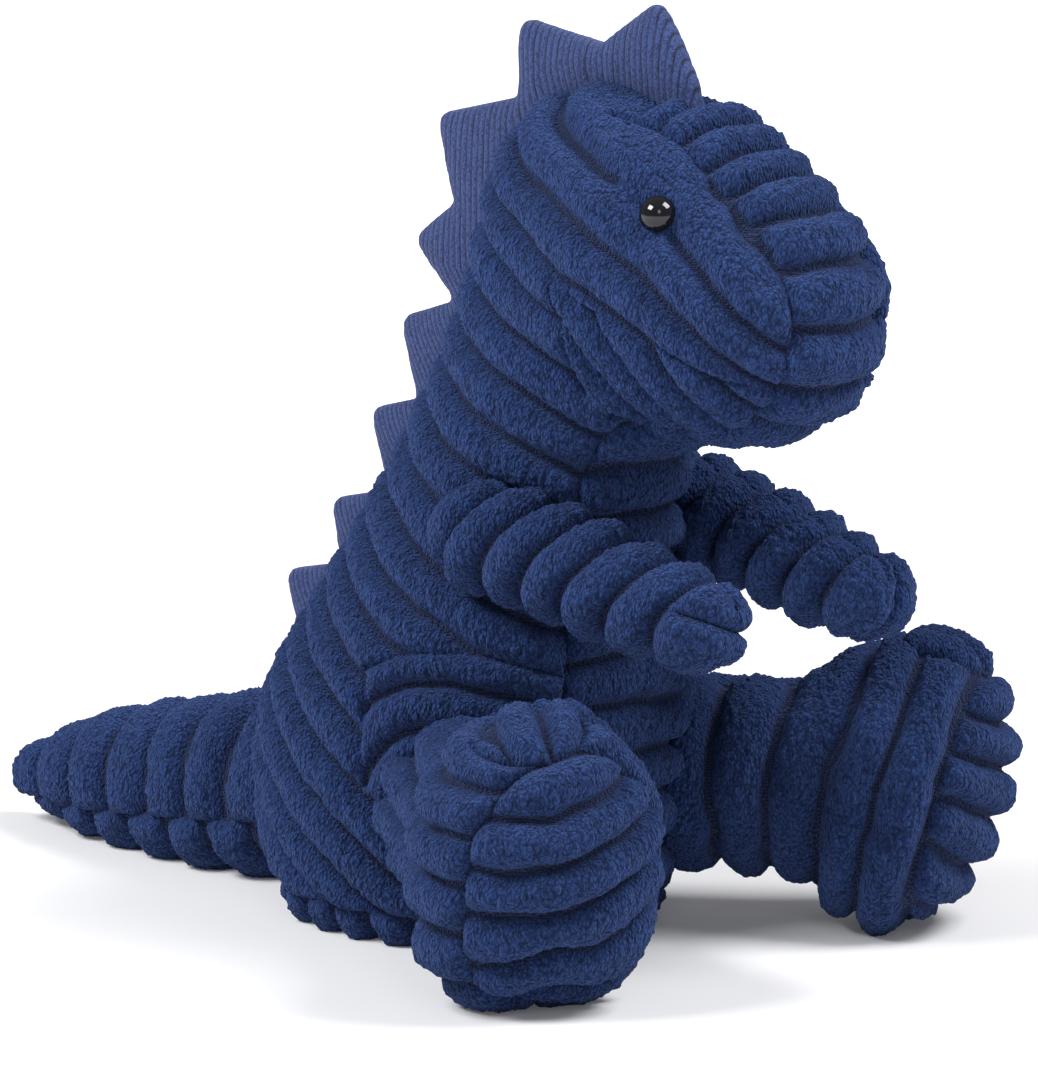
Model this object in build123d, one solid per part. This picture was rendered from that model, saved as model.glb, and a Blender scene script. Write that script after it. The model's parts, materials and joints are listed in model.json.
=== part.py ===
from build123d import *

# Sitting stuffed dinosaur, sewn from wide-ribbed plush, with a fine-cord crest along its back.
#
# It faces -Y, its left is +X and up is +Z.  The origin is the middle of the flat seat it sits on.
# Every soft part is a skin of sewn panels round a filling.  The head and the torso are one
# stuffed form with no seam between them.  The arms, legs and tail are closed tubes of their own,
# sewn on at a round root that sits in a hollow pressed into the torso.
# All lengths are in millimetres and all angles in degrees.

import math
import os

# ---------------------------------------------------------------- driving dimensions

skin = 3.2  # plush: knitted backing and standing pile
fill_gap = 0.3  # between a skin and the filling in it
limb_gap = 0.6  # between a limb and the hollow pressed into the torso for it
seat_gap = 0.3  # between the crest and the skin it is sewn to
far = 400.0  # half size of the blocks that cut the panels, well past the toy

# torso and neck: (height, middle in y, half width, half depth)
torso_stations = [
    (0.0, 4.0, 40.0, 44.0),
    (7.0, 4.0, 51.0, 55.0),
    (26.0, 4.0, 58.0, 62.0),
    (50.0, 3.0, 60.0, 64.0),
    (78.0, -4.0, 56.0, 58.0),
    (104.0, -13.0, 47.0, 50.0),
    (130.0, -22.0, 40.0, 43.0),
    (155.0, -32.0, 36.0, 38.0),
    (182.0, -42.0, 34.0, 36.0),
    (206.0, -48.0, 24.0, 27.0),
]

# head: balls strung along an axis that dips towards the snout, as (distance, radius)
nape = (-13.5, 221.0)  # y and z of the back end of the axis
head_dip = 23.0
head_balls = [(40.0, 36.5), (64.0, 43.0), (95.0, 37.5)]

# limbs: root centre of the left one, its direction, its balls, and how far it turns each way
arm_root = (38.0, -40.0, 118.0)
arm_yaw = 4.0  # towards the middle
arm_dip = 8.0
arm_balls = [(0.0, 16.0), (42.0, 15.5), (76.0, 13.5)]
arm_lower = 15.0
arm_raise = 26.0

leg_root = (37.0, -32.0, 41.0)
leg_splay = 31.0
leg_rise = 1.5
leg_balls = [(0.0, 27.0), (52.0, 29.0)]
leg_lower = 25.0
leg_raise = 12.0

tail_root = (0.0, 50.0, 29.5)
tail_dip = 6.5
tail_balls = [(0.0, 25.0), (50.0, 26.0), (98.0, 20.5), (136.0, 12.5)]
tail_swing = 24.0

# ribs of the side panels, which run down and forward with grooves between them
rib_pitch = 13.4
rib_slant = 29.0
groove_width = 2.4
backing = 0.8  # of the skin's knitted backing, which stays at the bottom of a groove

tube_start = 2.0  # from a hinge to the round room for its limb
fan_start = 4.0  # from a hinge to the flat fan that its limb sweeps
fan_step = 0.25  # between the fan and the round room at its two ends

# foot: an upright oval boot on the end of the leg, leaning out at the toes
foot_reach = 71.0  # from the leg's root to the middle of the foot
foot_half_width = 34.0
foot_half_depth = 33.0
foot_half_height = 43.3
foot_lean = 16.0
sole_depth = 13.0  # of the sole panel, from the front of the foot

# crest: (y, z) of each tooth's tip, and of the valleys before, between and after the teeth
crest_tips = [
    (-68.0, 266.0),
    (-15.5, 257.0),
    (18.0, 227.0),
    (28.0, 191.0),
    (33.0, 168.0),
    (45.0, 140.5),
    (61.5, 112.5),
    (80.5, 89.5),
]
crest_valleys = [
    (-86.0, 238.0),
    (-47.0, 252.0),
    (-14.0, 234.5),
    (10.5, 202.5),
    (10.0, 175.0),
    (25.5, 145.5),
    (37.0, 118.0),
    (56.5, 94.5),
    (72.0, 66.0),
]
crest_keel = [(46.0, 62.0), (18.0, 108.0), (-10.0, 155.0), (-28.0, 206.0), (-60.0, 222.0)]
crest_thickness = 8.0
crest_cloth = 1.6
tip_round = 4.0

# eyes: a glossy dome on a ridged stem, locked inside the skin by a washer
eye_along = 73.0  # where the eye's own axis leaves the head's axis
eye_turn = 39.0  # up from the side of the head
eye_radius = 5.2
eye_rise = 4.6  # from the dome's flat back to its top
eye_sink = 1.0  # of the flat back under the face of the pile
eye_gap = 0.2  # round the dome, the stem and the washer
stem_radius = 2.2
stem_length = 14.0
stem_ridges = 5
ridge_height = 0.4
ridge_length = 0.9
washer_radius = 8.0
washer_thickness = 1.6

# pellet pouch in the seat
pouch_radius = 20.0
pouch_height = 13.0
pouch_rounding = 5.0
pouch_clearance = 1.0

# seams between the panels
seat_seam = 9.0  # height of the seam round the seat panel
belly_half_width = 34.0
throat_half_width = 20.0
belly_top = 150.0
face_half_width = 19.0
face_back = -74.0  # y where the face gusset starts, under the front of the crest
tail_seam = -8.0  # below the tail's axis


# ---------------------------------------------------------------- forms

def ball_chain(balls, inset=0.0):
    """The hull of balls strung along +Z, each `inset` smaller: round ends and tangent sides."""
    rings = [(t, r - inset) for t, r in balls]
    here = (0.0, rings[0][0] - rings[0][1])
    edges = [Line((0.0, rings[-1][0] + rings[-1][1]), here)]
    heading = -90.0
    for (t0, r0), (t1, r1) in zip(rings, rings[1:]):
        slope = math.asin((r0 - r1) / (t1 - t0))
        leave = (r0 * math.cos(slope), t0 + r0 * math.sin(slope))
        arrive = (r1 * math.cos(slope), t1 + r1 * math.sin(slope))
        edges.append(ThreePointArc(here, on_ball(t0, r0, (heading + math.degrees(slope)) / 2), leave))
        edges.append(Line(leave, arrive))
        here = arrive
        heading = math.degrees(slope)
    t, r = rings[-1]
    edges.append(ThreePointArc(here, on_ball(t, r, (heading + 90.0) / 2), (0.0, t + r)))
    return revolve(Plane.XZ * make_face(Wire(edges)), Axis.Z)


def on_ball(along, radius, angle):
    """The point of a ball's outline at `angle` up from its equator."""
    return (
        radius * math.cos(math.radians(angle)),
        along + radius * math.sin(math.radians(angle)),
    )


def aimed(point, yaw, pitch):
    """A location at `point` whose +Z runs forward (-Y), turned `yaw` towards +X and `pitch` up."""
    level = math.cos(math.radians(pitch))
    forward = (
        math.sin(math.radians(yaw)) * level,
        -math.cos(math.radians(yaw)) * level,
        math.sin(math.radians(pitch)),
    )
    return Plane(origin=point, x_dir=sideways(yaw), z_dir=forward).location


def sideways(yaw):
    """The level direction square to a limb that is turned by `yaw`."""
    return (math.cos(math.radians(yaw)), math.sin(math.radians(yaw)), 0.0)


def torso_form(inset):
    """Torso and neck, lofted through level ellipses; the seat is flat."""
    rings = []
    last = len(torso_stations) - 1
    for i, (z, y, half_width, half_depth) in enumerate(torso_stations):
        lift = inset * (1 - i / last)
        rings.append(Pos(0, y, z + lift) * Ellipse(half_width - inset, half_depth - inset))
    return loft(rings)


def head_place():
    """The back end of the head's axis, with +Z along it."""
    return aimed((0, *nape), 0, -head_dip)


def head_form(inset):
    """Skull and muzzle, round about an axis that dips towards the snout."""
    return head_place() * ball_chain(head_balls, inset)


def body_form(inset):
    """Head, neck and torso in one."""
    return torso_form(inset) + head_form(inset)


def arm_place():
    """Where the left arm starts, and the way it points."""
    return aimed(arm_root, -arm_yaw, -arm_dip)


def arm_form(inset):
    """Left arm, a slim round-ended tube."""
    return arm_place() * ball_chain(arm_balls, inset)


def leg_place():
    """Where the left leg starts, and the way it points."""
    return aimed(leg_root, leg_splay, leg_rise)


def foot_place():
    """Middle of the left foot: its +Z is the way the sole faces, and its +Y is towards the toes."""
    return leg_place() * Pos(0, 0, foot_reach) * Rot(foot_lean, 0, 0)


def leg_form(inset):
    """Left leg, with an oval foot that stands on its heel."""
    axes = (foot_half_width - inset, foot_half_height - inset, foot_half_depth - inset)
    foot = foot_place() * scale(Sphere(1.0), by=axes)
    return leg_place() * ball_chain(leg_balls, inset) + foot


def tail_place():
    """Where the tail starts, and the way it points."""
    return aimed(tail_root, 180, -tail_dip)


def tail_form(inset):
    """Tail, tapering backwards and pressed flat where it lies on the floor."""
    floor = Pos(0, 0, inset - far) * Box(2 * far, 2 * far, 2 * far)
    return tail_place() * ball_chain(tail_balls, inset) - floor


def mirrored(solid):
    """The same piece on the other side of the toy."""
    return mirror(solid, Plane.YZ)


# ---------------------------------------------------------------- hinges and room for the limbs

arm_hinge = Axis(arm_root, sideways(180 - arm_yaw))
leg_hinge = Axis(leg_root, sideways(180 + leg_splay))
tail_hinge = Axis(tail_root, (0, 0, 1))


def turning_room(place, balls, hinge, low, high, depth, turn=0.0):
    """What a limb's thick end passes over as it turns from `low` to `high`, with room round it.

    The flat fan between the two end places lies in the plane of the hinge and the limb, and
    `turn` is that plane's own angle about the limb.  It is a little narrower than the limb's
    room, and the ball a little larger, so that no two of the faces are tangent.
    """
    grown = limb_gap + depth
    (t0, r0), (t1, r1) = balls[:2]
    narrowing = (r0 - r1) / (t1 - t0)
    near, inner, wide = [
        (r0 + grown - (t - t0) * narrowing) / math.sqrt(1 - narrowing**2)
        for t in (tube_start, fan_start, t1)
    ]
    tube = place * Pos(0, 0, (tube_start + t1) / 2) * Cone(near, wide, t1 - tube_start)
    half_start = inner - fan_step
    half_end = wide - fan_step
    outline = Polyline(
        (-half_start, fan_start), (half_start, fan_start), (half_end, t1), (-half_end, t1), close=True
    )
    strip = place * Rot(0, 0, turn) * Rot(90, 0, 0) * make_face(outline)
    fan = revolve(strip.rotate(hinge, low), hinge, high - low)
    ball = place * Sphere(r0 + grown + fan_step)
    return fan + ball + tube.rotate(hinge, low) + tube.rotate(hinge, high)


def hollows(depth):
    """The hollows that limbs and tail press into the torso, `depth` beyond the room they need."""
    arm = turning_room(arm_place(), arm_balls, arm_hinge, -arm_lower, arm_raise, depth)
    leg = turning_room(leg_place(), leg_balls, leg_hinge, -leg_lower, leg_raise, depth)
    tail = turning_room(tail_place(), tail_balls, tail_hinge, -tail_swing, tail_swing, depth, 90.0)
    return [arm, mirrored(arm), leg, mirrored(leg), tail]


def stuffed(depth):
    """Head and torso less the hollows in them, `depth` under the face of the pile."""
    form = body_form(depth)
    for hollow in hollows(depth):
        form = form - hollow
    return form


# ---------------------------------------------------------------- cutting panels

def block(x_range, y_range, z_range):
    """A box between three pairs of limits."""
    size = [high - low for low, high in (x_range, y_range, z_range)]
    middle = [(high + low) / 2 for low, high in (x_range, y_range, z_range)]
    return Pos(*middle) * Box(*size)


def half(place):
    """Everything on the +X side of a location."""
    return place * block((0, far), (-far, far), (-far, far))


def belly_block():
    """The tapered block that cuts the belly panel out of the torso's front."""
    outline = Polyline(
        (-belly_half_width, seat_seam),
        (belly_half_width, seat_seam),
        (throat_half_width, belly_top),
        (-throat_half_width, belly_top),
        close=True,
    )
    front = extrude(Plane.XZ * make_face(outline), far)
    return Pos(0, torso_stations[-1][1], 0) * front


def face_block():
    """The upright slab that cuts the face gusset out of the front of the head."""
    return block((-face_half_width, face_half_width), (-far, face_back), (0, far))


def grooved(panel):
    """A side panel with the grooves between its ribs cut through the pile down to the backing."""
    box = panel.bounding_box()
    rise = math.cos(math.radians(rib_slant))
    run = math.sin(math.radians(rib_slant))
    first = math.ceil((box.min.Z * rise - box.max.Y * run) / rib_pitch)
    last = math.floor((box.max.Z * rise - box.min.Y * run) / rib_pitch)
    pile = panel - body_form(skin - backing)
    for i in range(first, last + 1):
        gap = Rot(rib_slant, 0, 0) * Pos(0, 0, i * rib_pitch) * Box(2 * far, 2 * far, groove_width)
        groove = pile & gap
        if groove:
            panel = panel - groove
    return panel


# ---------------------------------------------------------------- eyes

def eye_seat():
    """Middle of the left eye on the face of the pile, with +Z straight out of the head."""
    (t0, r0), (t1, r1) = head_balls[1:3]
    narrowing = (r0 - r1) / (t1 - t0)
    radius = r0 - (eye_along - t0) * narrowing
    outward = Rot(0, 90 - math.degrees(math.asin(narrowing)), 0)
    return head_place() * Pos(0, 0, eye_along) * Rot(0, 0, eye_turn) * outward * Pos(0, 0, radius)


def washer_level():
    """Height of the washer's outer face over the eye's seat: flat under the curve of the skin."""
    inner_radius = head_balls[-1][1] - skin
    sag = inner_radius - math.sqrt(inner_radius**2 - washer_radius**2)
    return -skin - sag - eye_gap


def eye():
    """Dome and ridged stem in one; the barbs of the ridges let the washer on but not off."""
    top = eye_rise - eye_sink
    first = washer_level() - washer_thickness - eye_gap
    pitch = (stem_length + first) / stem_ridges
    corners = [(0, top), (0, -stem_length)]
    for i in range(stem_ridges):
        low = -stem_length + i * pitch
        corners += [(stem_radius, low), (stem_radius + ridge_height, low + ridge_length)]
        corners.append((stem_radius, low + ridge_length))
    corners += [(stem_radius, -eye_sink), (eye_radius, -eye_sink)]
    outline = [Line(a, b) for a, b in zip(corners, corners[1:])]
    ball = (eye_radius**2 + eye_rise**2) / (2 * eye_rise)
    foot_angle = math.degrees(math.asin((ball - eye_rise) / ball))
    shoulder = on_ball(top - ball, ball, (90 + foot_angle) / 2)
    outline.append(ThreePointArc((eye_radius, -eye_sink), shoulder, (0, top)))
    return revolve(Plane.XZ * make_face(Wire(outline)), Axis.Z)


def eye_washer():
    """The locking washer on the stem, flat against the inside of the skin."""
    middle = Pos(0, 0, washer_level() - washer_thickness / 2)
    ring = Cylinder(washer_radius, washer_thickness)
    return middle * (ring - Cylinder(stem_radius + eye_gap, washer_thickness))


def eye_hole():
    """What the eye takes out of the skin: a shallow seat for the dome and a hole for the stem."""
    seat = Pos(0, 0, eye_rise / 2 - eye_sink) * Cylinder(eye_radius + eye_gap, eye_rise)
    return seat + Cylinder(stem_radius + eye_gap, 2 * stem_length)


def eye_pocket():
    """What the stem and the washer take out of the filling."""
    washer_room = washer_thickness + eye_gap - washer_level()
    stem_room = stem_length + eye_gap
    wide = Cylinder(washer_radius + eye_gap, eye_rise + washer_room)
    narrow = Cylinder(stem_radius + ridge_height + eye_gap, eye_rise + stem_room)
    return Pos(0, 0, (eye_rise - washer_room) / 2) * wide + Pos(0, 0, (eye_rise - stem_room) / 2) * narrow


# ---------------------------------------------------------------- crest

def crest_outline():
    """The toothed outline in the YZ plane, closed by a keel that runs inside the body."""
    points = [crest_valleys[0]]
    for tip, valley in zip(crest_tips, crest_valleys[1:]):
        points += [tip, valley]
    outline = make_face(Polyline(*points, *crest_keel, close=True))
    tips = [v for v in outline.vertices() if any((v.X, v.Y) == tip for tip in crest_tips)]
    return fillet(tips, tip_round)


def crest_slab(inset, half_thickness):
    """The crest as a slab about the middle plane, its outline moved in by `inset`."""
    outline = crest_outline()
    if inset > 0:
        outline = offset(outline, -inset)
    return extrude(Plane.YZ * outline, half_thickness, both=True)


# ---------------------------------------------------------------- pieces

def body_pieces():
    """Panels, filling, pellet pouch and eyes of the head and torso."""
    inside = stuffed(skin)
    shell = stuffed(0.0) - inside
    eyes = eye_seat() * eye()
    holes = eye_seat() * eye_hole()
    shell = shell - holes - mirrored(holes)

    seat_block = block((-far, far), (-far, far), (-far, seat_seam))
    seat = shell & seat_block
    belly = (shell & belly_block()) - face_block()
    face = shell & face_block()
    sides = shell - seat_block - belly_block() - face_block()

    pouch_place = Pos(0, 0, skin + fill_gap + pouch_clearance + pouch_height / 2)
    puck = pouch_place * fillet(Cylinder(pouch_radius, pouch_height).edges(), pouch_rounding)
    room = pouch_place * Cylinder(pouch_radius + fill_gap, pouch_height + 2 * fill_gap)
    pockets = eye_seat() * eye_pocket()
    filling = stuffed(skin + fill_gap) - room - pockets - mirrored(pockets)

    washer = eye_seat() * eye_washer()
    side = grooved(sides & half(Location()))
    return {
        "side_panel_left": side,
        "side_panel_right": mirrored(side),
        "belly_panel": belly,
        "seat_panel": seat,
        "face_gusset": face,
        "body_filling": filling,
        "seat_pellet_pouch": puck,
        "eye_left": eyes,
        "eye_right": mirrored(eyes),
        "eye_washer_left": washer,
        "eye_washer_right": mirrored(washer),
    }


def crest_pieces():
    """Two cloth faces sewn together at their rim, and the wadding between them."""
    body = body_form(-seat_gap)
    half_thickness = crest_thickness / 2
    inside = crest_slab(crest_cloth, half_thickness - crest_cloth)
    cloth = crest_slab(0.0, half_thickness) - inside - body
    core = crest_slab(crest_cloth + fill_gap, half_thickness - crest_cloth - fill_gap) - body
    left = cloth & half(Location())
    return {"crest_face_left": left, "crest_face_right": mirrored(left), "crest_wadding": core}


def arm_pieces():
    """Outer and inner panel and filling of the left arm."""
    shell = arm_form(0.0) - arm_form(skin)
    outer = half(arm_place())
    return {
        "outer_panel": shell & outer,
        "inner_panel": shell - outer,
        "filling": arm_form(skin + fill_gap),
    }


def leg_pieces():
    """Outer, inner and sole panel and filling of the left leg."""
    shell = leg_form(0.0) - leg_form(skin)
    outer = half(leg_place())
    front = foot_half_depth - sole_depth
    sole = foot_place() * block((-far, far), (-far, far), (front, far))
    upper = shell - sole
    return {
        "outer_panel": upper & outer,
        "inner_panel": upper - outer,
        "sole_panel": shell & sole,
        "filling": leg_form(skin + fill_gap),
    }


def tail_pieces():
    """Top and under panel and filling of the tail."""
    shell = tail_form(0.0) - tail_form(skin)
    upper = tail_place() * block((-far, far), (tail_seam, far), (-far, far))
    return {
        "tail_top_panel": shell & upper,
        "tail_under_panel": shell - upper,
        "tail_filling": tail_form(skin + fill_gap),
    }


pieces = body_pieces() | crest_pieces() | tail_pieces()
for limb, parts in (("arm", arm_pieces()), ("leg", leg_pieces())):
    for name, solid in parts.items():
        pieces[limb + "_left_" + name] = solid
        pieces[limb + "_right_" + name] = mirrored(solid)

os.makedirs("parts", exist_ok=True)
for name, solid in pieces.items():
    export_step(solid, "parts/" + name + ".step")
    print(name, len(solid.solids()), round(solid.volume), solid.is_valid)
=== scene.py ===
import json
import math

import bmesh
import bpy
import numpy as np
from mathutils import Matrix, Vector
from mathutils.bvhtree import BVHTree
from mathutils.kdtree import KDTree


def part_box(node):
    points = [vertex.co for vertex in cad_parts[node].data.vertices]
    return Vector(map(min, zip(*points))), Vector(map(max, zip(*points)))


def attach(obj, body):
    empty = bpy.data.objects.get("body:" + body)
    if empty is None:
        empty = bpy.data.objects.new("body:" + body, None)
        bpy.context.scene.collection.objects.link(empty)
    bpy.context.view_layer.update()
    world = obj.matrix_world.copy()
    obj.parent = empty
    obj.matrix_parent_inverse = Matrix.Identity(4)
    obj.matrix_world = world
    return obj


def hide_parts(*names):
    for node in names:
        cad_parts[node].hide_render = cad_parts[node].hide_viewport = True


# Sitting stuffed dinosaur.  It faces -Y, its left is +X, and it sits on z = 0.
# Fields and patterns are worked out in millimetres, and meshes are in metres.

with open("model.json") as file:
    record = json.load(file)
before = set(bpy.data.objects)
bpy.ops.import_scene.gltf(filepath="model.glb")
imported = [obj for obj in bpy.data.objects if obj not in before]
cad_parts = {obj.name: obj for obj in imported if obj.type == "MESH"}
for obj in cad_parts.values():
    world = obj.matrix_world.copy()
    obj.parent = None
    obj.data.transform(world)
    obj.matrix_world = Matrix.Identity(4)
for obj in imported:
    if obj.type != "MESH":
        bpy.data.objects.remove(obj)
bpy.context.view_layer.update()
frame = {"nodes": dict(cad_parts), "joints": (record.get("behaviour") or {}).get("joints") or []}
MM = 0.001

TORSO_PANELS = ["side_panel_left", "side_panel_right", "belly_panel", "seat_panel", "face_gusset"]
SIDES = {"left": 1.0, "right": -1.0}


# ---------------------------------------------------------------- noise

def cell_value(cells, seed):
    """A repeatable value from 0 to 1 for each whole-numbered cell."""
    n = cells[:, 0] * 374761393 + cells[:, 1] * 668265263 + cells[:, 2] * 1440662683 + seed * 974711
    n &= 0xFFFFFFFF
    n = ((n ^ (n >> 13)) * 1274126177) & 0xFFFFFFFF
    n ^= n >> 16
    return (n & 0xFFFF) / 65535.0


def cloud(points, size, seed):
    """Smooth noise from -1 to 1, in lumps about `size` across."""
    scaled = points / size
    base = np.floor(scaled).astype(np.int64)
    inside = scaled - base
    inside = inside * inside * (3.0 - 2.0 * inside)
    total = np.zeros(len(points))
    for corner in range(8):
        step = np.array([corner & 1, (corner >> 1) & 1, (corner >> 2) & 1])
        weight = np.prod(np.where(step, inside, 1.0 - inside), axis=1)
        total += weight * cell_value(base + step, seed)
    return 2.0 * total - 1.0


def ramp(value, low, high):
    """0 below `low`, 1 above `high`, smooth between."""
    share = np.clip((value - low) / (high - low), 0.0, 1.0)
    return share * share * (3.0 - 2.0 * share)


# ---------------------------------------------------------------- meshes

def new_piece(name, form):
    """An object made of a bmesh, alone in the selection."""
    mesh = bpy.data.meshes.new(name)
    form.to_mesh(mesh)
    form.free()
    piece = bpy.data.objects.new(name, mesh)
    bpy.context.scene.collection.objects.link(piece)
    take(piece)
    return piece


def take(piece):
    """Selects one object and makes it active."""
    bpy.ops.object.select_all(action="DESELECT")
    piece.select_set(True)
    bpy.context.view_layer.objects.active = piece


def gathered(names):
    """Copies of the meshes of CAD nodes, in one bmesh."""
    form = bmesh.new()
    for name in names:
        form.from_mesh(frame["nodes"][name].data)
    return form


SKIN_LEVELS = 3  # times that a remeshed skin is divided before its pile is raised


def finish_modifier(piece, kind, **settings):
    """Adds a modifier and applies it."""
    take(piece)
    modifier = piece.modifiers.new(kind.lower(), kind)
    for key, value in settings.items():
        setattr(modifier, key, value)
    bpy.ops.object.modifier_apply(modifier=modifier.name)


def closed_skin(piece, voxel, rounds):
    """One closed even skin round all that the piece holds, smoothed and divided finely."""
    finish_modifier(piece, "REMESH", mode="VOXEL", voxel_size=voxel * MM)
    finish_modifier(piece, "SMOOTH", factor=0.5, iterations=rounds)
    finish_modifier(piece, "SUBSURF", levels=SKIN_LEVELS, render_levels=SKIN_LEVELS)


def points_of(piece):
    """Vertex places in millimetres."""
    flat = np.empty(len(piece.data.vertices) * 3)
    piece.data.vertices.foreach_get("co", flat)
    return flat.reshape(-1, 3) / MM


def normals_of(piece):
    """The way that each vertex faces."""
    flat = np.empty(len(piece.data.vertices) * 3)
    piece.data.vertices.foreach_get("normal", flat)
    return flat.reshape(-1, 3)


def put_points(piece, points):
    """Moves every vertex to its place in millimetres, and shades the piece smooth."""
    piece.data.vertices.foreach_set("co", (points * MM).ravel())
    piece.data.update()
    piece.data.polygons.foreach_set("use_smooth", np.ones(len(piece.data.polygons), dtype=bool))
    piece.data.update()


def store(piece, name, values):
    """Keeps one value per vertex for the material."""
    layer = piece.data.attributes.new(name, "FLOAT", "POINT")
    layer.data.foreach_set("value", values.astype(np.float32))


# ---------------------------------------------------------------- rib cloth

RIB_DEPTH = 5.0  # from the face of the ribs down to the knitted ground between them
RIB_STAND = 1.5  # how far the ribs stand over the panels' own face
GROOVE_SHARE = 0.13  # of a rib's pitch that is bare ground
SEAM_REACH = 4.8  # from a seam to where the ribs are full again
SEAM_FLOOR = 0.2  # of a rib's height that is left on a seam
EASED_HEIGHT = 0.72  # of a rib's height where the cloth is drawn flat
STRAND_STRETCH = (1.0, 1.0, 0.6)  # the pile's tufts are longer up and down


def rib_heights(phase):
    """Round ribs: 1 on a crown, 0 in the narrow groove that lies at each whole number."""
    across = np.abs(2.0 * (phase - np.floor(phase)) - 1.0) / (1.0 - GROOVE_SHARE)
    return np.clip(1.0 - across**2.2, 0.0, None) ** 0.68


def seam_heights(distance, reach=SEAM_REACH, floor=SEAM_FLOOR):
    """Ribs round down to a seam: nearly 0 on it, 1 past its reach."""
    near = np.clip(np.abs(distance) / reach, 0.0, 1.0)
    return floor + (1.0 - floor) * np.sqrt(1.0 - (1.0 - near) ** 2)


def sewn(seams, zone, distance, reach=SEAM_REACH, floor=SEAM_FLOOR):
    """The seams so far, with one more that holds only in `zone`."""
    return np.minimum(seams, np.where(zone, seam_heights(distance, reach, floor), 1.0))


def raise_ribs(piece, points, phase, seams, seed, ease=None, dent=None):
    """Moves the skin out to its ribs and in at its grooves and seams, with plump lumps and pile."""
    wander = 0.1 * cloud(points, 22.0, seed) + 0.045 * cloud(points, 7.0, seed + 1)
    ribs = rib_heights(phase + wander)
    if ease is not None:
        ribs = ribs * (1.0 - ease) + EASED_HEIGHT * ease
    height = ribs * seams
    plump = 0.6 * cloud(points, 15.0, seed + 2) + 0.35 * cloud(points, 6.5, seed + 3)
    standing = ramp(height, 0.12, 0.5)
    strands = points * np.array(STRAND_STRETCH)
    coarse, fine = np.abs(cloud(strands, 1.7, seed + 4)), np.abs(cloud(strands, 1.1, seed + 5))
    tufts = 0.75 * coarse + 0.7 * fine - 0.4
    move = RIB_STAND - RIB_DEPTH * (1.0 - height) + plump * height + tufts * standing
    if dent is not None:
        move = move - dent
    moved = points + normals_of(piece) * move[:, None]
    moved[:, 2] = np.maximum(moved[:, 2], 0.0)
    put_points(piece, moved)
    store(piece, "pile", height)
    # the tufts' heights are kept to paint shade into the dips between tufts
    store(piece, "tuft", np.clip(0.35 + 0.6 * tufts, 0.0, 1.0))


# ---------------------------------------------------------------- head and torso

RINGS = 120  # points round each level ring
LEVEL_STEP = 5.0  # between level rings
HULL_RAYS = 1600  # ways in which the head's hull is felt for
NAPE = (-8.0, 205.0)  # y and z where the neck ends and the head starts, at the back
CHIN_Y = -73.0  # and at the front, over the top of the belly panel
CHIN_RISE = 3.0

# side panels, whose ribs run down and forward
RIB_PITCH = 13.4
RIB_SLANT = 29.0
LOW_SLANT = 9.0  # more, low on the flank
EYE_BEND = 0.36  # ribs by which the groove under an eye rises to it
CROWN_PHASE = 17.5  # from this rib up the ribs are wider
CROWN_STRETCH = 0.7

# haunch, whose folds run round the top of the leg; places are (y, z)
HAUNCH = (-32.0, 41.0)
FOLD_RADIUS = 45.0
FOLD_PITCH = 13.0
FOLD_FLOOR = 46.0
FOLD_BACK = -9.0

# cheek and throat: a dart, and a pleat where the throat's steeper ribs start
DART = (-76.0, 187.0)
DART_DIP = -22.4
PLEAT_Y = -66.0
THROAT_SLANT = 60.0
THROAT_PITCH = 12.6

# face gusset, belly and seat
SNOUT = (-82.0, 196.0)
GUSSET_RIBS = 3.39  # to a radian round the snout
BELLY_PITCH = 13.8
BELLY_SAG = 0.0022
SEAT_PITCH = 13.5


def over_neck(points, chin, along):
    """How far points lie on the head's side of the neck's plane."""
    return (points[:, 1] - chin[0]) * -along[1] + (points[:, 2] - chin[1]) * along[0]


def torso_base():
    """The full stuffed form: level rings up to the neck, and the hull of the head."""
    cloud_points = np.concatenate([
        np.array([v.co for v in frame["nodes"][name].data.vertices]) / MM for name in TORSO_PANELS
    ])
    chin = np.array([CHIN_Y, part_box("belly_panel")[1].z / MM + CHIN_RISE])
    nape = np.array(NAPE)
    along = (nape - chin) / np.linalg.norm(nape - chin)
    over = over_neck(cloud_points, chin, along)

    form = bmesh.new()
    turns = np.linspace(0.0, 2.0 * math.pi, RINGS, endpoint=False)
    directions = np.stack([np.cos(turns), np.sin(turns)])
    neck = cloud_points[over < 6.0]
    rings = []
    middles = []
    top = nape[1] - 4.0
    for level in np.arange(1.0, top, LEVEL_STEP):
        slab = neck[np.abs(neck[:, 2] - level) < 0.8 * LEVEL_STEP]
        chosen = slab[np.argmax(slab[:, :2] @ directions, axis=0)]
        height = 0.0 if level == 1.0 else level
        rings.append([form.verts.new((x * MM, y * MM, height * MM)) for x, y, _ in chosen])
        middles.append((level, (chosen[:, 1].max() + chosen[:, 1].min()) / 2))
    for low, high in zip(rings, rings[1:]):
        for i in range(RINGS):
            j = (i + 1) % RINGS
            form.faces.new((low[i], low[j], high[j], high[i]))
    form.faces.new(rings[-1])
    form.faces.new(rings[0][::-1])

    index = np.arange(HULL_RAYS) + 0.5
    tilt = np.arccos(1.0 - 2.0 * index / HULL_RAYS)
    spin = math.pi * (1.0 + math.sqrt(5.0)) * index
    rays = np.stack([np.cos(spin) * np.sin(tilt), np.sin(spin) * np.sin(tilt), np.cos(tilt)])
    head = cloud_points[over > 0.0]
    reach = np.unique(np.argmax(head @ rays, axis=0))
    corners = [form.verts.new(tuple(head[i] * MM)) for i in reach]
    hull = bmesh.ops.convex_hull(form, input=corners)
    left_over = hull["geom_interior"] + hull["geom_unused"]
    loose = [g for g in left_over if isinstance(g, bmesh.types.BMVert)]
    bmesh.ops.delete(form, geom=list(set(loose)), context="VERTS")
    return form, middles, chin, along


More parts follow.
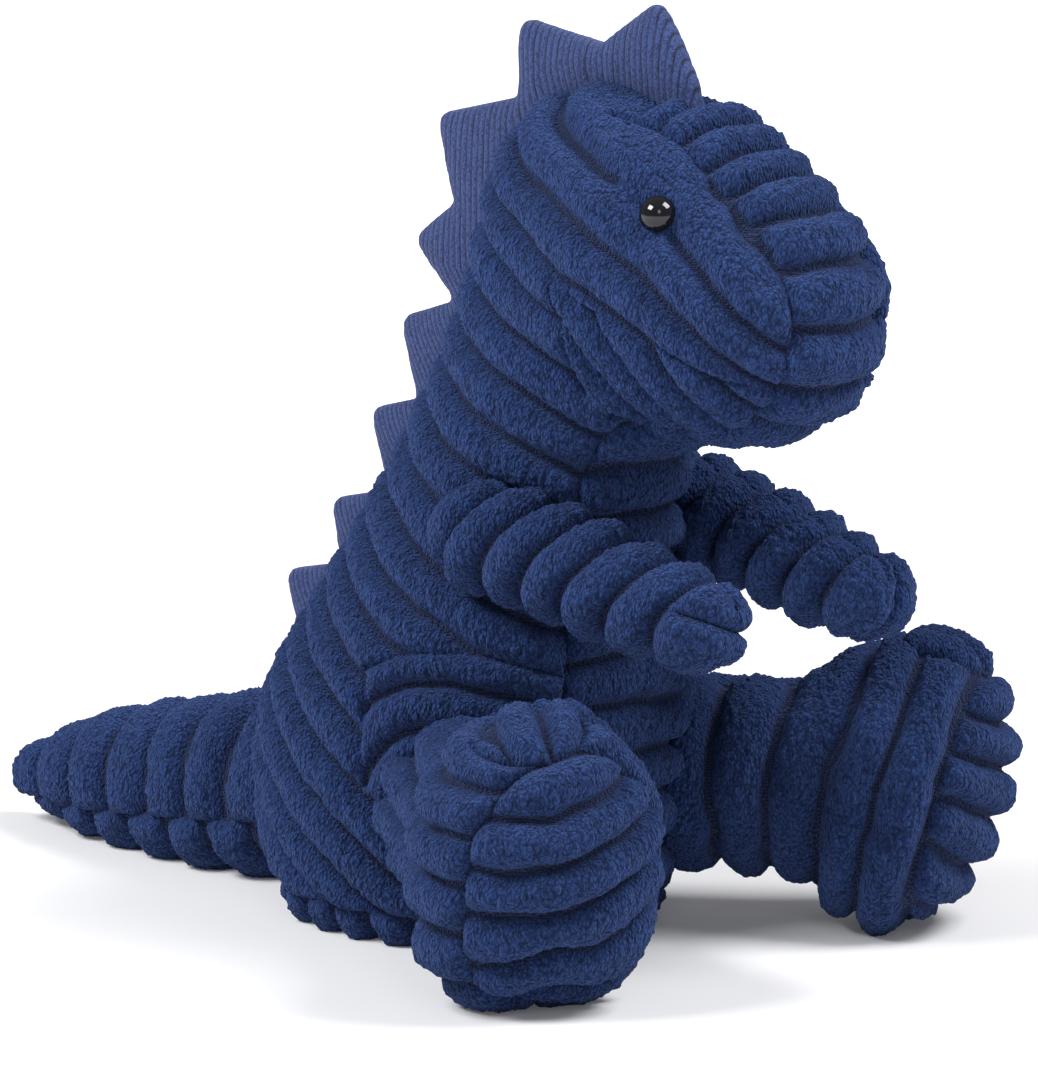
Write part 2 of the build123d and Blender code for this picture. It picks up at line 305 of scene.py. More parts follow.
def eye_distance(points):
    """How far points lie from the nearer eye's seat on the skin."""
    away = []
    for name in ("eye_left", "eye_right"):
        low_corner, high_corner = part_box(name)
        outer_x = high_corner.x if name == "eye_left" else low_corner.x
        inner = (low_corner + high_corner) / 2
        seat_y, seat_z = (high_corner.y + inner.y) / 2, (high_corner.z + inner.z) / 2
        seat = np.array([outer_x, seat_y, seat_z]) / MM
        away.append(np.linalg.norm(points - seat, axis=1))
    return np.minimum(*away)


def head_and_torso():
    """Head, neck and torso in one skin, with the grooves and seams of its five panels."""
    form, middles, chin, along = torso_base()
    body = new_piece("head_and_torso", form)
    closed_skin(body, 4.6, 10)
    p = points_of(body)
    x, y, z = p.T
    side = np.abs(x)
    over = over_neck(p, chin, along)
    middle = np.interp(z, *zip(*middles))

    # sides: planes that run down and forward, steeper round the muzzle and low on the flank
    slant = np.radians(RIB_SLANT + LOW_SLANT * ramp(-z, -120.0, -60.0))
    muzzle = np.clip(-88.0 - y, 0.0, None) * ramp(over, -5.0, 15.0)
    phase = (z * np.cos(slant) - y * np.sin(slant) + 0.004 * muzzle**2) / RIB_PITCH

    # each eye is sewn through a groove that bends up to it; the rib above runs to the gusset
    eye_away = eye_distance(p)
    phase = phase - EYE_BEND * np.exp(-((eye_away / 36.0) ** 2))
    wider = CROWN_PHASE + CROWN_STRETCH * (phase - CROWN_PHASE)
    phase = np.where(phase > CROWN_PHASE, wider, phase)

    # haunch: folds round the top of the leg
    belly_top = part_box("belly_panel")[1].z / MM
    belly_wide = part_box("belly_panel")[1].x / MM
    belly_half = np.interp(z, [9.0, belly_top], [belly_wide, 20.0])
    haunch = np.hypot(y - HAUNCH[0], z - HAUNCH[1])
    fold_zone = (side > belly_half) & (z > FOLD_FLOOR) & (y < FOLD_BACK)
    phase = np.where(fold_zone & (haunch < FOLD_RADIUS), haunch / FOLD_PITCH + 0.2, phase)

    # throat: a fan of steeper ribs below the cheek's dart
    fan_slant = math.radians(THROAT_SLANT)
    dart = (z - DART[1]) + (y - DART[0]) * math.tan(math.radians(DART_DIP))
    throat = (over > 0.0) & (dart < 0.0) & (y < PLEAT_Y)
    steep = (z * math.cos(fan_slant) - y * math.sin(fan_slant)) / THROAT_PITCH + 0.3
    phase = np.where(throat, steep, phase)

    # face gusset: ribs straight across, spaced along the profile of the snout
    gusset_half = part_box("face_gusset")[1].x / MM - 2.0
    gusset_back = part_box("face_gusset")[1].y / MM
    round_snout = np.arctan2(z - SNOUT[1], -(y - SNOUT[0]))
    in_gusset = (over > 0.0) & (side < gusset_half) & (y < gusset_back)
    phase = np.where(in_gusset, round_snout * GUSSET_RIBS + 0.78, phase)

    # belly: level ribs between two slanting seams
    in_belly = (over <= 0.0) & (side < belly_half) & (y < middle)
    phase = np.where(in_belly, (z + BELLY_SAG * x**2) / BELLY_PITCH, phase)
    seat_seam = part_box("seat_panel")[1].z / MM
    phase = np.where(z < seat_seam, (y + 4.0) / SEAT_PITCH, phase)

    # seams: belly, gusset, neck, seat, the dart and pleat of the cheek, and the haunch's folds
    seams = np.ones(len(p))
    front = (y < middle + 6.0) & (z < belly_top + 4.0)
    seams = sewn(seams, (over < 3.0) & front, side - belly_half)
    head_front = (over > -3.0) & (y < gusset_back + 8.0)
    seams = sewn(seams, head_front, side - gusset_half, 4.2, 0.25)
    crown = (over > 30.0) & (side < gusset_half + 3.0)
    seams = sewn(seams, crown, y - gusset_back, 4.2, 0.25)
    chin_line = (y < -58.0) & (side < gusset_half + 6.0)
    seams = sewn(seams, chin_line, over, 4.5)
    seams = sewn(seams, True, z - seat_seam, 4.0, 0.3)
    dart_zone = (over > 2.0) & (y < -72.0) & (y > -124.0) & (side > gusset_half)
    seams = sewn(seams, dart_zone, dart, 4.5, 0.25)
    pleat_zone = (over > 0.0) & (dart < 4.0) & (y < -55.0) & (y > -80.0)
    seams = sewn(seams, pleat_zone, y - PLEAT_Y, 4.0, 0.3)
    seams = sewn(seams, fold_zone, haunch - FOLD_RADIUS, 5.0, 0.3)
    fold_ends = (side > belly_half) & (z > FOLD_FLOOR) & (haunch < FOLD_RADIUS + 1.0)
    seams = sewn(seams, fold_ends, y - FOLD_BACK, 6.0, 0.3)

    # the crown and the bridge of the nose stand out, and the skin is drawn in round the eyes
    bridge = ramp(over, 22.0, 55.0) * (1.0 - ramp(side, 8.0, 27.0)) * ramp(-y, 74.0, 92.0)
    dent = -3.2 * bridge
    dent = dent + 1.9 * np.exp(-((eye_away / 8.0) ** 2))
    ease = 0.7 * (1.0 - ramp(eye_away, 9.0, 15.0))

    raise_ribs(body, p, phase, seams, 11, ease, dent)
    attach(body, "torso")
    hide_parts(*TORSO_PANELS)
    return body


# ---------------------------------------------------------------- limbs

def flipped(points, mirror):
    """Points of a right limb as if it were the left one, and the other way round."""
    return points * np.array([mirror, 1.0, 1.0])


def limb_frame(joint, yaw, rise, mirror):
    """Root and directions of a limb, worked out as if it were the left one: along, up, outward."""
    root = np.array(next(j for j in frame["joints"] if j["name"] == joint)["pos_m"]) / MM
    root = flipped(root, mirror)
    level = math.cos(math.radians(rise))
    along = np.array([
        math.sin(math.radians(yaw)) * level, -math.cos(math.radians(yaw)) * level,
        math.sin(math.radians(rise)),
    ])
    outward = np.array([math.cos(math.radians(yaw)), math.sin(math.radians(yaw)), 0.0])
    return root, along, np.cross(along, outward), outward


ARM_YAW = -4.0
ARM_RISE = -8.0
ARM_PITCH = 15.0
ARM_DROOP = 4.0
HAND_PHASE = 5.5  # the last rib, which is the hand
ARM_SEEDS = {"left": 31, "right": 37}


def arm_frame(name, mirror):
    """Root and directions of an arm."""
    return limb_frame(f"arm_{name}_raise", ARM_YAW, ARM_RISE, mirror)


def drooped(points, name, mirror):
    """An arm's points with the far half hanging a little under its own weight."""
    root, along, _, _ = arm_frame(name, mirror)
    t = (flipped(points, mirror) - root) @ along
    return points - np.array([0.0, 0.0, 1.0]) * (ARM_DROOP * ramp(t, 15.0, 80.0))[:, None]


def arm(name, mirror):
    """A slim arm, ribbed across, whose hand has a cleft that parts its fingers."""
    panels = [f"arm_{name}_{part}" for part in ("outer_panel", "inner_panel", "filling")]
    piece = new_piece(f"arm_{name}", gathered(panels))
    closed_skin(piece, 4.1, 4)
    p = points_of(piece)
    root, along, up, outward = arm_frame(name, mirror)
    local = flipped(p, mirror) - root
    t, v, w = local @ along, local @ up, local @ outward
    phase = (t - 0.42 * v + 0.1 * w + 4.0) / ARM_PITCH
    phase = np.minimum(phase, HAND_PHASE)
    seams = seam_heights(np.where(np.abs(v) > 6.0, w + 1.5, 9.0), 4.0, 0.45)
    level_cleft, upright_cleft = 0.94 * v - 0.33 * w - 1.0, 0.95 * w - 0.3 * v
    fingers = level_cleft if name == "right" else upright_cleft
    paw = ramp(phase, 5.1, 5.4)
    seams = np.minimum(seams, 1.0 - paw * (1.0 - seam_heights(fingers, 5.0, 0.05)))
    p = drooped(p, name, mirror)
    raise_ribs(piece, p, phase, seams, ARM_SEEDS[name])
    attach(piece, f"arm_{name}")
    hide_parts(*panels[:2])
    return piece


LEG_SPLAY = 31.0
LEG_RISE = 1.5
FOOT_REACH = 71.0
FOOT_LEAN = 16.0
FOOT_HALF_WIDTH = 34.0
FOOT_HALF_HEIGHT = 43.3
SOLE_LEVEL = 15.5  # from the foot's middle to the seam of its sole
SOLE_SKEW = 0.25  # by which the right sole's seam leans
SOLE_PRESS = 0.16
SQUARENESS = 3.2  # 2 is an oval, and more is squarer
ANKLE_PITCH = 16.5
FOOT_PITCH = 13.6
KNOT_RIB = 3.0  # of the sole's ribs, the one over which the toes are gathered
KNOT_BACK = -10.0
KNOT_TURN = 0.16
KNOT_SPREAD = 0.75
LEG_SEEDS = {"left": 51, "right": 57}


def leg(name, mirror):
    """A thick leg with rings round the ankle, level ribs on the sole and gathered toes."""
    parts = ("outer_panel", "inner_panel", "sole_panel", "filling")
    panels = [f"leg_{name}_{part}" for part in parts]
    piece = new_piece(f"leg_{name}", gathered(panels))
    closed_skin(piece, 4.6, 5)
    p = points_of(piece)
    root, along, up, outward = limb_frame(f"leg_{name}_raise", LEG_SPLAY, LEG_RISE, mirror)
    local = flipped(p, mirror) - root
    t, v, w = local @ along, local @ up, local @ outward
    lean = math.radians(FOOT_LEAN)
    foot = local - along * FOOT_REACH
    sole_out = along * math.cos(lean) - up * math.sin(lean)
    sole_up = up * math.cos(lean) + along * math.sin(lean)
    q, h = foot @ sole_out, foot @ sole_up
    turning = math.radians(FOOT_LEAN) * ramp(t, 20.0, 62.0)
    ring = (t - FOOT_REACH) * np.cos(turning) - v * np.sin(turning)
    inner = (SOLE_LEVEL - ring - 0.001 * h**2) / ANKLE_PITCH
    outer = (v + 0.1 * (t - FOOT_REACH) + 3.0) / FOOT_PITCH
    sole = (h + 0.2 * w - 0.0032 * w**2 + 4.0) / FOOT_PITCH
    sole_edge = SOLE_LEVEL + (SOLE_SKEW * w if name == "right" else 0.0)
    fan = (np.arctan2(w + 2.0, h - 24.0) - KNOT_TURN) / KNOT_SPREAD
    knot = (sole > KNOT_RIB) & (q > KNOT_BACK) & (np.abs(fan) < 1.0)
    phase = np.where(w > 0.0, outer, inner)
    phase = np.where(q > sole_edge, sole, phase)
    phase = np.where(knot, fan, phase)
    seams = np.where(knot, 1.0, seam_heights(q - sole_edge, 5.5, 0.05))
    seams = sewn(seams, q < sole_edge, w, 4.5, 0.3)
    seams = sewn(seams, q > 0.0, FOOT_PITCH * (sole - KNOT_RIB), 4.5, 0.0)
    behind_knot = (sole > KNOT_RIB) & (np.abs(fan) < 1.1)
    seams = sewn(seams, behind_knot, q - KNOT_BACK, 4.5, 0.2)

    # the sole is pressed flatter, and the foot stands square on the floor
    turn = np.arctan2(h / FOOT_HALF_HEIGHT, w / FOOT_HALF_WIDTH)
    powers = np.abs(np.cos(turn)) ** SQUARENESS + np.abs(np.sin(turn)) ** SQUARENESS
    square = powers ** (-1.0 / SQUARENESS) - 1.0
    square = square * ramp(q, -25.0, 5.0) * (1.0 - ramp(h, 0.0, 28.0))
    flat = np.clip(q - SOLE_LEVEL, 0.0, None) * SOLE_PRESS
    push = (square * w)[:, None] * outward + (square * h)[:, None] * sole_up
    push = push - flat[:, None] * sole_out
    p = p + flipped(push, mirror)
    raise_ribs(piece, p, phase, seams, LEG_SEEDS[name])
    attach(piece, f"leg_{name}")
    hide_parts(*panels[:3])
    return piece


TAIL_DIP = -6.5
TAIL_PITCH = 19.0
TAIL_SEAM = -8.0  # level of the seam between the top and the under panel


def tail():
    """A tapering tail, ringed by ribs that step at the seam low on each side."""
    panels = ["tail_top_panel", "tail_under_panel", "tail_filling"]
    piece = new_piece("tail", gathered(panels))
    closed_skin(piece, 4.4, 5)
    p = points_of(piece)
    root, along, up, outward = limb_frame("tail_swing", 180.0, TAIL_DIP, 1.0)
    local = p - root
    t, v, w = local @ along, local @ up, local @ outward
    top = (t + 0.0028 * w**2 + 3.0) / TAIL_PITCH
    phase = np.where(v > TAIL_SEAM, top, top + 0.45)
    seams = seam_heights(v - TAIL_SEAM, 4.5, 0.15)
    full_below = ramp(-v, 4.0, 14.0) * (1.0 - ramp(t, 60.0, 110.0))
    thin = -0.2 * ramp(t, 105.0, 150.0) + 0.06 * full_below
    p = p + (thin * v)[:, None] * up + (thin * w)[:, None] * outward
    raise_ribs(piece, p, phase, seams, 71, ease=0.5 * ramp(t, 95.0, 140.0))
    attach(piece, "tail")
    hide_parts(*panels[:2])
    return piece


# ---------------------------------------------------------------- crest

CORD_PITCH = 2.2
CORD_DEPTH = 0.34
CREST_VOXEL = 1.0
RIM_REACH = 11.0  # from the crest's rim to where it is at its thickest
SEWN_DOWN = 7.0  # from the back's skin, the part of the crest that is drawn down to it
SEWN_PULL = 5.0


def crest(skin_form):
    """Fine-cord cloth, puffed between its rims, with its lower edge sewn down into the back."""
    nodes = ["crest_face_left", "crest_face_right", "crest_wadding"]
    piece = new_piece("crest", gathered(nodes))
    finish_modifier(piece, "REMESH", mode="VOXEL", voxel_size=CREST_VOXEL * MM)
    p, n = points_of(piece), normals_of(piece)
    rim = np.flatnonzero(np.abs(n[:, 0]) < 0.5)
    tree = KDTree(len(rim))
    for i, index in enumerate(rim):
        tree.insert((0.0, p[index, 1], p[index, 2]), i)
    tree.balance()
    inward = np.array([tree.find((0.0, y, z))[2] for _, y, z in p])
    puff = np.sqrt(1.0 - (1.0 - np.clip(inward / RIM_REACH, 0.0, 1.0)) ** 2)
    p[:, 0] *= 0.34 + 0.72 * puff
    put_points(piece, p)
    finish_modifier(piece, "SMOOTH", factor=0.5, iterations=6)
    finish_modifier(piece, "SUBSURF", levels=1, render_levels=1)
    p, n = points_of(piece), normals_of(piece)
    along_back = p[:, 1] + 0.6 * np.clip(185.0 - p[:, 2], 0.0, None)
    cord = (along_back + 0.3 * cloud(p, 12.0, 91)) / CORD_PITCH
    ridge = np.abs(np.cos(math.pi * cord)) ** 0.7
    faces = np.abs(n[:, 0])
    swell = (ridge - 0.6) * CORD_DEPTH * faces + 0.6 * cloud(p, 14.0, 92) * faces
    p = p + n * swell[:, None]
    for i, point in enumerate(p):
        place, _, _, away = skin_form.find_nearest(Vector(point * MM))
        away /= MM
        if away < SEWN_DOWN:
            pull = np.array(place) / MM - point
            p[i] = point + pull / max(away, 0.3) * SEWN_PULL * (1.0 - away / SEWN_DOWN)
    put_points(piece, p)
    store(piece, "pile", ridge)
    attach(piece, "torso")
    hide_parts(*nodes[:2])
    return piece


# ---------------------------------------------------------------- wadding

def wadding(name, node, body, voxel=4.0, shrink=4.6):
    """Loose polyester fibre in the shape of the space it fills, clear of the skin round it."""
    piece = new_piece(name, gathered([node]))
    finish_modifier(piece, "REMESH", mode="VOXEL", voxel_size=voxel * MM)
    finish_modifier(piece, "SMOOTH", factor=0.5, iterations=4)
    p = points_of(piece)
    move = -shrink + 0.3 * shrink * cloud(p, 9.0, 81)
    p = p + normals_of(piece) * move[:, None]
    if body.startswith("arm_"):
        side = body.removeprefix("arm_")
        p = drooped(p, side, SIDES[side])
    put_points(piece, p)
    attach(piece, body)
    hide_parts(node)
    return piece


# ---------------------------------------------------------------- materials

def node_group(name, inputs, outputs):
    """An empty shader group with named value or colour sockets."""
    group = bpy.data.node_groups.new(name, "ShaderNodeTree")
    for socket, kind, default in inputs:
        made = group.interface.new_socket(name=socket, in_out="INPUT", socket_type=kind)
        made.default_value = default
    for socket, kind in outputs:
        group.interface.new_socket(name=socket, in_out="OUTPUT", socket_type=kind)
    return group, group.nodes.new("NodeGroupInput"), group.nodes.new("NodeGroupOutput")


def add(tree, kind, links=(), **settings):
    """A node with settings, fed by (socket, source) pairs; plain values set the socket itself."""
    made = tree.nodes.new(kind)
    for key, value in settings.items():
        setattr(made, key, value)
    for socket, source in links:
        if isinstance(source, bpy.types.NodeSocket):
            tree.links.new(source, made.inputs[socket])
        else:
            made.inputs[socket].default_value = source
    return made


def curl_group():
    """Short curled pile: round tufts with painted shade in the gaps between them, over faint
    brushed patches.
    """
    group, given, result = node_group(
        "curled_pile",
        [("Scale", "NodeSocketFloat", 1.0)],
        [("Height", "NodeSocketFloat"), ("Shade", "NodeSocketFloat")],
    )
    place = add(group, "ShaderNodeTexCoord").outputs["Object"]
    combed = add(group, "ShaderNodeVectorMath", [
        (0, place), (1, STRAND_STRETCH),
    ], operation="MULTIPLY")
    scaled = add(group, "ShaderNodeVectorMath", [(0, combed.outputs[0])], operation="SCALE")
    group.links.new(given.outputs["Scale"], scaled.inputs["Scale"])
    stir = add(group, "ShaderNodeTexNoise", [
        ("Vector", scaled.outputs[0]), ("Scale", 500.0), ("Detail", 1.0),
    ])
    stirred = add(group, "ShaderNodeVectorMath", [
        (0, stir.outputs["Color"]), (1, (0.0012, 0.0012, 0.0012)), (2, scaled.outputs[0]),
    ], operation="MULTIPLY_ADD")
    tufts = add(group, "ShaderNodeTexVoronoi", [
        ("Vector", stirred.outputs[0]), ("Scale", 1250.0), ("Randomness", 1.0),
    ], feature="F1")
    fibres = add(group, "ShaderNodeTexNoise", [
        ("Vector", scaled.outputs[0]), ("Scale", 2300.0), ("Detail", 2.0),
    ])
    brushed = add(group, "ShaderNodeTexNoise", [
        ("Vector", scaled.outputs[0]), ("Scale", 120.0), ("Detail", 2.0),
    ])
    crown = add(group, "ShaderNodeMapRange", [
        ("Value", tufts.outputs["Distance"]), ("From Min", 0.1), ("From Max", 0.85),
        ("To Min", 1.0), ("To Max", 0.0),
    ], interpolation_type="SMOOTHSTEP")
    height = add(group, "ShaderNodeMath", [
        (0, fibres.outputs["Fac"]), (1, 0.7), (2, crown.outputs[0]),
    ], operation="MULTIPLY_ADD")
    # Shade: painted shade, dark in the gaps between tufts and light on their crowns, with random
    # tone from the fibres and brushed patches
    shade = add(group, "ShaderNodeMath", [
        (0, crown.outputs[0]), (1, 0.45), (2, 0.02),
    ], operation="MULTIPLY_ADD")
    shade = add(group, "ShaderNodeMath", [
        (0, fibres.outputs["Fac"]), (1, 0.45), (2, shade.outputs[0]),
    ], operation="MULTIPLY_ADD")
    shade = add(group, "ShaderNodeMath", [
        (0, brushed.outputs["Fac"]), (1, 0.2), (2, shade.outputs[0]),
    ], operation="MULTIPLY_ADD")
    group.links.new(height.outputs[0], result.inputs["Height"])
    group.links.new(shade.outputs[0], result.inputs["Shade"])
    return group


def weave_group():
    """Twill of fine yarns: diagonal lines, broken up by single stitches."""
    group, given, result = node_group(
        "fine_twill",
        [("Yarns per metre", "NodeSocketFloat", 900.0)],
        [("Height", "NodeSocketFloat")],
    )
    place = add(group, "ShaderNodeTexCoord").outputs["Object"]
    turned = add(group, "ShaderNodeMapping", [("Vector", place), ("Rotation", (0.5, 0.4, 0.7))])
    lines = add(group, "ShaderNodeTexWave", [
        ("Vector", turned.outputs[0]), ("Distortion", 0.6), ("Detail", 1.0), ("Detail Scale", 4.0),
    ], wave_type="BANDS", bands_direction="DIAGONAL")
    group.links.new(given.outputs["Yarns per metre"], lines.inputs["Scale"])
    stitches = add(group, "ShaderNodeTexNoise", [("Vector", turned.outputs[0]), ("Scale", 1500.0)])
    height = add(group, "ShaderNodeMath", [
        (0, stitches.outputs["Fac"]), (1, 0.4), (2, lines.outputs["Fac"]),
    ], operation="MULTIPLY_ADD")
    group.links.new(height.outputs[0], result.inputs["Height"])
    return group


def linear(*rgb):
    """A colour given as it looks on screen, from 0 to 255, as a shader colour."""
    return tuple(
        (c / 255 / 12.92 if c / 255 <= 0.04045 else ((c / 255 + 0.055) / 1.055) ** 2.4) for c in rgb
    ) + (1.0,)


def blank(name, **values):
    """A material with one Principled shader and its constants."""
    material = bpy.data.materials.new(name)
    material.use_nodes = True
    tree = material.node_tree
    shader = tree.nodes["Principled BSDF"]
    for socket, value in values.items():
        shader.inputs[socket.replace("_", " ")].default_value = value
    return material, tree, shader


def blend_colours(tree, share, first, second):
    """A mix of two colours; a colour mix has its share at socket 0 and its colours at 6 and 7."""
    mix = add(tree, "ShaderNodeMix", [(0, share)], data_type="RGBA")
    for socket, colour in ((6, first), (7, second)):
        if isinstance(colour, bpy.types.NodeSocket):
            tree.links.new(colour, mix.inputs[socket])
        else:
            mix.inputs[socket].default_value = colour
    return mix.outputs[2]


def placed(tree, group, **values):
    """One use of a shader group, with its input values."""
    made = tree.nodes.new("ShaderNodeGroup")
    made.node_tree = group
    for socket, value in values.items():
        made.inputs[socket.replace("_", " ")].default_value = value
    return made


def between(tree, source, low, high, to_low=0.0, to_high=1.0):
    """A value mapped from one range to another."""
    return add(tree, "ShaderNodeMapRange", [
        ("Value", source), ("From Min", low), ("From Max", high),
        ("To Min", to_low), ("To Max", to_high),
    ]).outputs[0]


def rib_plush_material(curls, twill):
    """Dark blue curled pile on the ribs, over knitted ground in the grooves."""
    material, tree, shader = blank(
        "rib_plush", Roughness=0.92, Sheen_Weight=0.22, Sheen_Roughness=0.45,
        Sheen_Tint=linear(130, 160, 235), Specular_IOR_Level=0.18,
    )
    pile = add(tree, "ShaderNodeAttribute", attribute_name="pile").outputs["Fac"]
    curl = placed(tree, curls, Scale=1.0)
    ground = placed(tree, twill, Yarns_per_metre=520.0)
    tuft = add(tree, "ShaderNodeAttribute", attribute_name="tuft").outputs["Fac"]
    # painted shade: the pile is darker in the dips and gaps between tufts and lighter on their
    # crowns, mixed with random tone
    mixed = add(tree, "ShaderNodeMath", [
        (0, tuft), (1, 0.45), (2, curl.outputs["Shade"]),
    ], operation="MULTIPLY_ADD")
    tuft_shade_and_tone = between(tree, mixed.outputs[0], 0.42, 1.08)
    plush = blend_colours(tree, tuft_shade_and_tone, linear(10, 23, 53), linear(36, 61, 114))
    weave = between(tree, ground.outputs["Height"], 0.2, 1.2)
    knit = blend_colours(tree, weave, linear(12, 18, 38), linear(34, 44, 76))
    cover = between(tree, pile, 0.04, 0.3)
    tree.links.new(blend_colours(tree, cover, knit, plush), shader.inputs["Base Color"])
    bump = add(tree, "ShaderNodeBump", [
        ("Strength", 0.95), ("Distance", 0.0008), ("Height", curl.outputs["Height"]),
    ])
    tree.links.new(bump.outputs[0], shader.inputs["Normal"])
    return material


def cord_cloth_material(curls, twill):
    """Paler fine-cord cloth of the crest, dark between its ridges."""
    material, tree, shader = blank(
        "cord_cloth", Roughness=0.86, Sheen_Weight=0.3, Sheen_Roughness=0.5,
        Sheen_Tint=linear(170, 180, 225), Specular_IOR_Level=0.2,
    )
    ridge = add(tree, "ShaderNodeAttribute", attribute_name="pile").outputs["Fac"]
    curl = placed(tree, curls, Scale=1.6)
    ground = placed(tree, twill, Yarns_per_metre=800.0)
    # the cords' crown colour: painted shade in the gaps between tufts, with random tone
    curl_shade_and_tone = between(tree, curl.outputs["Shade"], 0.35, 0.65)
    crown = blend_colours(tree, curl_shade_and_tone, linear(33, 44, 80), linear(53, 68, 114))
    depth = between(tree, ridge, 0.15, 0.75)
    tree.links.new(
        blend_colours(tree, depth, linear(16, 19, 38), crown), shader.inputs["Base Color"]
    )
    height = add(tree, "ShaderNodeMath", [
        (0, ground.outputs["Height"]), (1, 0.4), (2, curl.outputs["Height"]),
    ], operation="MULTIPLY_ADD")
    bump = add(tree, "ShaderNodeBump", [
        ("Strength", 0.4), ("Distance", 0.0004), ("Height", height.outputs[0]),
    ])
    tree.links.new(bump.outputs[0], shader.inputs["Normal"])
    return material


def gloss_black_material():
    """Polished black plastic of the eyes, faintly smeared."""
    material, tree, shader = blank(
        "eye_black", Coat_Weight=0.25, Coat_Roughness=0.03, Specular_IOR_Level=0.35,
    )
    place = add(tree, "ShaderNodeTexCoord").outputs["Object"]
    smears = add(tree, "ShaderNodeTexNoise", [("Vector", place), ("Scale", 240.0), ("Detail", 4.0)])
    tree.links.new(
        between(tree, smears.outputs["Fac"], 0.3, 0.8, 0.05, 0.14), shader.inputs["Roughness"]
    )
    tree.links.new(
        blend_colours(tree, smears.outputs["Fac"], linear(8, 8, 10), linear(20, 20, 24)),
        shader.inputs["Base Color"],
    )
    return material


def white_plastic_material():
    """Moulded white plastic of the eyes' washers."""
    material, tree, shader = blank("washer_white", Specular_IOR_Level=0.4)
    place = add(tree, "ShaderNodeTexCoord").outputs["Object"]
    grain = add(tree, "ShaderNodeTexNoise", [("Vector", place), ("Scale", 900.0), ("Detail", 3.0)])
    tree.links.new(
        between(tree, grain.outputs["Fac"], 0.2, 0.8, 0.4, 0.6), shader.inputs["Roughness"]
    )
    tree.links.new(
        blend_colours(tree, grain.outputs["Fac"], linear(214, 214, 208), linear(236, 236, 230)),
        shader.inputs["Base Color"],
    )
    return material


def filling_material(curls):
    """Loose white polyester fibre."""
    material, tree, shader = blank(
        "polyester_filling", Roughness=0.95, Sheen_Weight=0.4, Specular_IOR_Level=0.15
    )
    curl = placed(tree, curls, Scale=0.5)
    # painted shade in the gaps between the fibre's tufts, with random tone
    tree.links.new(
        blend_colours(tree, curl.outputs["Shade"], linear(206, 208, 212), linear(246, 247, 248)),
        shader.inputs["Base Color"],
    )
    bump = add(tree, "ShaderNodeBump", [
        ("Strength", 0.7), ("Distance", 0.0015), ("Height", curl.outputs["Height"]),
    ])
    tree.links.new(bump.outputs[0], shader.inputs["Normal"])
    return material


def pouch_material(twill):
    """Unbleached woven cloth of the pellet pouch."""
    material, tree, shader = blank("pouch_cloth", Roughness=0.9, Specular_IOR_Level=0.2)
    yarns = placed(tree, twill, Yarns_per_metre=420.0)
    tree.links.new(
        blend_colours(tree, yarns.outputs["Height"], linear(196, 190, 176), linear(230, 226, 214)),
        shader.inputs["Base Color"],
    )
    bump = add(tree, "ShaderNodeBump", [
        ("Strength", 0.4), ("Distance", 0.0004), ("Height", yarns.outputs["Height"]),
    ])
    tree.links.new(bump.outputs[0], shader.inputs["Normal"])
    return material


def wear(piece, material):
    """Gives a piece its one material."""
    piece.data.materials.clear()
    piece.data.materials.append(material)


# ---------------------------------------------------------------- floor, light and camera

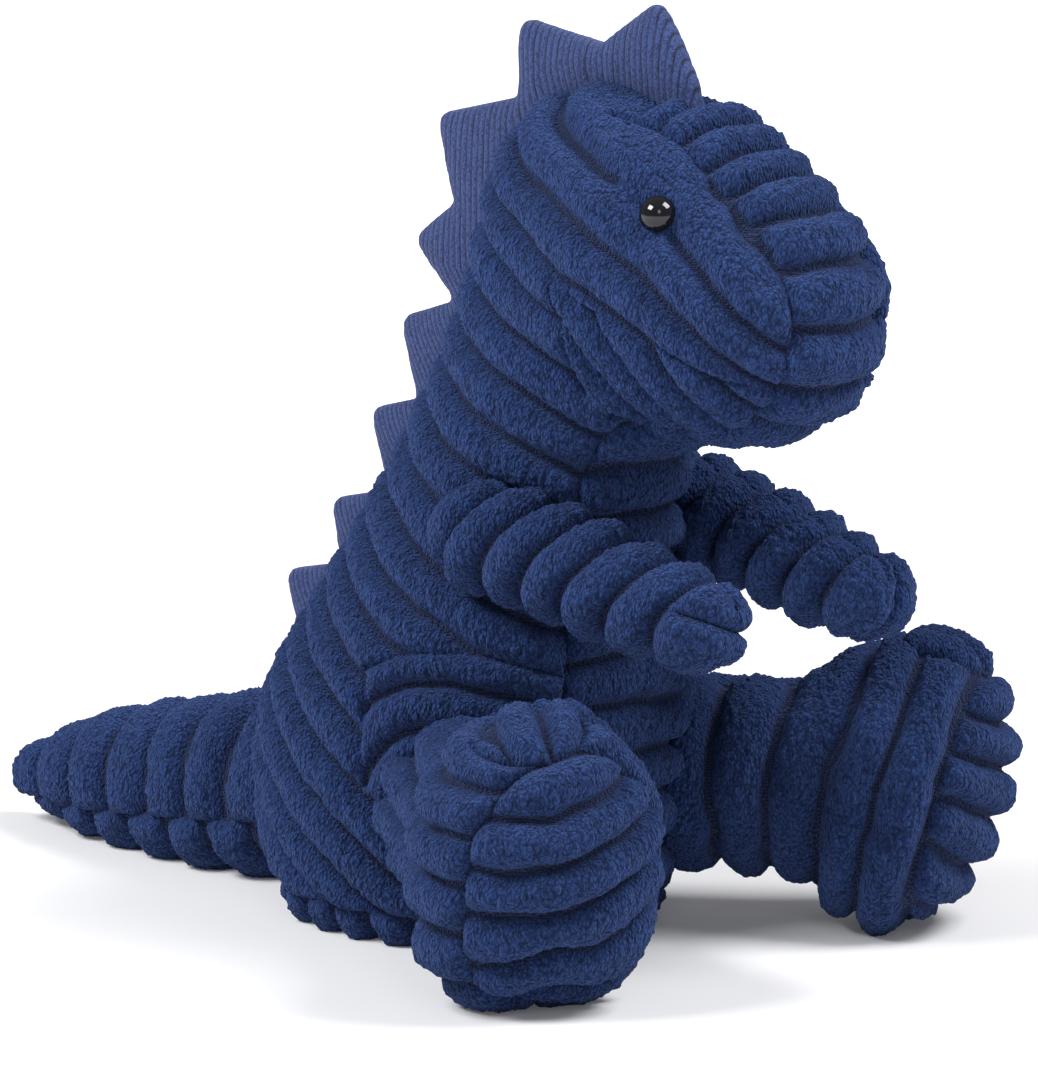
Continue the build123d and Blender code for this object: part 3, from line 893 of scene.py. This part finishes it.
def floor_and_light():
    """A pale floor that brightens away from the toy, a white surround and three soft lamps."""
    bpy.ops.mesh.primitive_plane_add(size=12.0, location=(0, 0, 0))
    floor = bpy.context.object
    floor.name = "floor"
    material, tree, shader = blank("pale_floor", Roughness=0.6, Specular_IOR_Level=0.3)
    shader.inputs["Base Color"].default_value = (0.76, 0.76, 0.775, 1.0)
    shader.inputs["Emission Strength"].default_value = 1.0
    place = add(tree, "ShaderNodeTexCoord").outputs["Object"]
    away = add(tree, "ShaderNodeVectorMath", [(0, place)], operation="LENGTH").outputs["Value"]
    glow = blend_colours(
        tree, between(tree, away, 0.35, 1.3), (0.06, 0.06, 0.062, 1.0), (0.9, 0.9, 0.9, 1.0)
    )
    tree.links.new(glow, shader.inputs["Emission Color"])
    wear(floor, material)

    world = bpy.data.worlds.new("studio")
    bpy.context.scene.world = world
    world.use_nodes = True
    tree = world.node_tree
    surround = tree.nodes["Background"]
    surround.inputs["Color"].default_value = (1.0, 1.0, 1.0, 1.0)
    seen = add(tree, "ShaderNodeLightPath").outputs["Is Camera Ray"]
    tree.links.new(between(tree, seen, 0.0, 1.0, 0.25, 1.05), surround.inputs["Strength"])

    for name, place, width, height, power in (
        ("key", (-1.3, 0.4, 1.45), 0.9, 0.7, 46.0),
        ("front", (-1.2, -1.5, 1.1), 0.5, 0.7, 4.0),
        ("top", (0.7, -1.1, 1.7), 1.0, 1.0, 50.0),
    ):
        lamp = bpy.data.lights.new(name, "AREA")
        lamp.shape = "RECTANGLE"
        lamp.size, lamp.size_y = width, height
        lamp.energy = power
        holder = bpy.data.objects.new(name, lamp)
        bpy.context.scene.collection.objects.link(holder)
        holder.location = place
        aim = Vector((0.0, -0.02, 0.12)) - Vector(place)
        holder.rotation_euler = aim.to_track_quat("-Z", "Y").to_euler()


def photo_camera():
    """A long lens at the photo's angle."""
    azimuth, rise, away = math.radians(-45.0), math.radians(10.0), 2.4
    back = Vector((
        math.sin(azimuth) * math.cos(rise), -math.cos(azimuth) * math.cos(rise), math.sin(rise)
    ))
    target = Vector((0.0, -0.0135, 0.1096))
    data = bpy.data.cameras.new("camera")
    data.sensor_fit = "VERTICAL"
    data.sensor_height = 36.0
    data.lens = 286.0
    camera = bpy.data.objects.new("camera", data)
    bpy.context.scene.collection.objects.link(camera)
    camera.location = target + back * away
    camera.rotation_euler = (-back).to_track_quat("-Z", "Y").to_euler()
    bpy.context.scene.camera = camera


# ---------------------------------------------------------------- the whole toy

photo_camera()
floor_and_light()
bpy.context.scene.view_settings.view_transform = "Standard"

skins = [head_and_torso(), tail()]
for name, mirror in SIDES.items():
    skins += [arm(name, mirror), leg(name, mirror)]

torso_form = torso_base()[0]
ridge = crest(BVHTree.FromBMesh(torso_form))
torso_form.free()

fillings = [
    wadding("body_wadding", "body_filling", "torso"),
    wadding("tail_wadding", "tail_filling", "tail"),
    wadding("crest_inner_wadding", "crest_wadding", "torso", voxel=CREST_VOXEL, shrink=1.2),
]
for name in SIDES:
    fillings.append(wadding(f"arm_{name}_wadding", f"arm_{name}_filling", f"arm_{name}"))
    fillings.append(wadding(f"leg_{name}_wadding", f"leg_{name}_filling", f"leg_{name}"))

curls, twill = curl_group(), weave_group()
plush = rib_plush_material(curls, twill)
for piece in skins:
    wear(piece, plush)
wear(ridge, cord_cloth_material(curls, twill))
loose_fibre = filling_material(curls)
for piece in fillings:
    wear(piece, loose_fibre)
black, white = gloss_black_material(), white_plastic_material()
for name in SIDES:
    wear(frame["nodes"][f"eye_{name}"], black)
    wear(frame["nodes"][f"eye_washer_{name}"], white)
wear(frame["nodes"]["seat_pellet_pouch"], pouch_material(twill))
